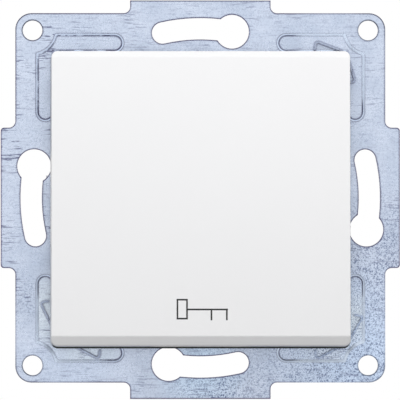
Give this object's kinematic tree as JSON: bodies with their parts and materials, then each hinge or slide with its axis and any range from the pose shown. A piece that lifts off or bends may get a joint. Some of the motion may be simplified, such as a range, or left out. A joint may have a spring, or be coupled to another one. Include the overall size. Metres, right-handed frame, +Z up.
{
  "type": "pushbutton switch",
  "caption": "Flush pushbutton insert: square white rocker cap with a printed key sign on a galvanised steel support plate with keyhole slots, over a housing with spring terminals and claws.",
  "frame": {"origin": "centre of the box screws' circle on the support plate's back face, which lies on the wall", "axes": "+X to the right seen from the front, +Z up, -Y to the front, +Y into the wall box"},
  "size_m": [0.0708, 0.0376, 0.0706],
  "materials": {
    "plate_steel": "galvanised sheet, bluish, fine dark grain",
    "white_plastic": "satin gloss",
    "grey_plastic": "matt",
    "cover_plastic": "matt",
    "housing_plastic": "matt, fine texture",
    "lever_plastic": "matt",
    "rivet_steel": "zinc plated",
    "spring_steel": "bright spring steel",
    "screw_steel": "zinc plated",
    "claw_steel": "zinc plated sheet",
    "brass": "plain",
    "contact_silver": "silver alloy, satin"
  },
  "bodies": {
    "insert": {"support_plate": "plate_steel", "plate_rivets": "rivet_steel", "base_housing": "housing_plastic", "mechanism_cover": "cover_plastic", "busbar_left": "brass", "busbar_right": "brass", "fixed_contacts": "contact_silver", "clamp_spring_left_upper": "spring_steel", "clamp_spring_left_lower": "spring_steel", "clamp_spring_right_upper": "spring_steel", "clamp_spring_right_lower": "spring_steel", "return_spring": "spring_steel"},
    "rocker": {"rocker_cap": "white_plastic", "rocker_carrier": "grey_plastic"},
    "plunger": {"plunger": "grey_plastic", "contact_spring": "spring_steel", "contact_bridge": "brass", "bridge_contacts": "contact_silver", "bridge_retainer": "grey_plastic"},
    "release_left": {"release_lever_left": "lever_plastic"},
    "claw_screw_left": {"claw_screw_left": "screw_steel"},
    "claw_nut_left": {"claw_nut_left": "screw_steel"},
    "claw_arm_left": {"claw_arm_left": "claw_steel"},
    "release_right": {"release_lever_right": "lever_plastic"},
    "claw_screw_right": {"claw_screw_right": "screw_steel"},
    "claw_nut_right": {"claw_nut_right": "screw_steel"},
    "claw_arm_right": {"claw_arm_right": "claw_steel"}
  },
  "joints": [
    {"name": "rocker_hinge", "type": "hinge", "parent": "insert", "child": "rocker", "pos_m": [0, -0.0049, 0], "axis": [1, 0, 0], "range_deg": [0, 7], "stiffness_Nm_per_rad": 0.1, "springref_deg": -20.05},
    {"name": "plunger_slide", "type": "slide", "parent": "insert", "child": "plunger", "axis": [0, 1, 0], "range_m": [0, 0.00122], "deforming": ["return_spring"]},
    {"name": "release_left_slide", "type": "slide", "parent": "insert", "child": "release_left", "axis": [0, -1, 0], "range_m": [0, 0.0015], "stiffness_N_per_m": 500, "springref_m": -0.0005, "deforming": ["clamp_spring_left_upper", "clamp_spring_left_lower"]},
    {"name": "claw_left_turn", "type": "hinge", "parent": "insert", "child": "claw_screw_left", "pos_m": [-0.0234, 0, 0], "axis": [0, 1, 0], "range_deg": [0, 2881]},
    {"name": "claw_left_draw", "type": "slide", "parent": "insert", "child": "claw_nut_left", "axis": [0, -1, 0], "range_m": [0, 0.006]},
    {"name": "claw_left_swing", "type": "hinge", "parent": "claw_nut_left", "child": "claw_arm_left", "pos_m": [-0.0234, 0.012, 0], "axis": [0, 0, 1], "range_deg": [0, 25]},
    {"name": "release_right_slide", "type": "slide", "parent": "insert", "child": "release_right", "axis": [0, -1, 0], "range_m": [0, 0.0015], "stiffness_N_per_m": 500, "springref_m": -0.0005, "deforming": ["clamp_spring_right_upper", "clamp_spring_right_lower"]},
    {"name": "claw_right_turn", "type": "hinge", "parent": "insert", "child": "claw_screw_right", "pos_m": [0.0234, 0, 0], "axis": [0, 1, 0], "range_deg": [0, 2881]},
    {"name": "claw_right_draw", "type": "slide", "parent": "insert", "child": "claw_nut_right", "axis": [0, -1, 0], "range_m": [0, 0.006]},
    {"name": "claw_right_swing", "type": "hinge", "parent": "claw_nut_right", "child": "claw_arm_right", "pos_m": [0.0234, 0.012, 0], "axis": [0, 0, -1], "range_deg": [0, 25]}
  ],
  "couplings": [
    {"joint": "plunger_slide", "follows": "rocker_hinge", "m_per_rad": 0.00999},
    {"joint": "claw_left_turn", "follows": "claw_left_draw", "rad_per_m": 8377.6},
    {"joint": "claw_left_swing", "follows": "claw_left_draw", "rad_per_m": 72.7},
    {"joint": "claw_right_turn", "follows": "claw_right_draw", "rad_per_m": 8377.6},
    {"joint": "claw_right_swing", "follows": "claw_right_draw", "rad_per_m": 72.7}
  ]
}
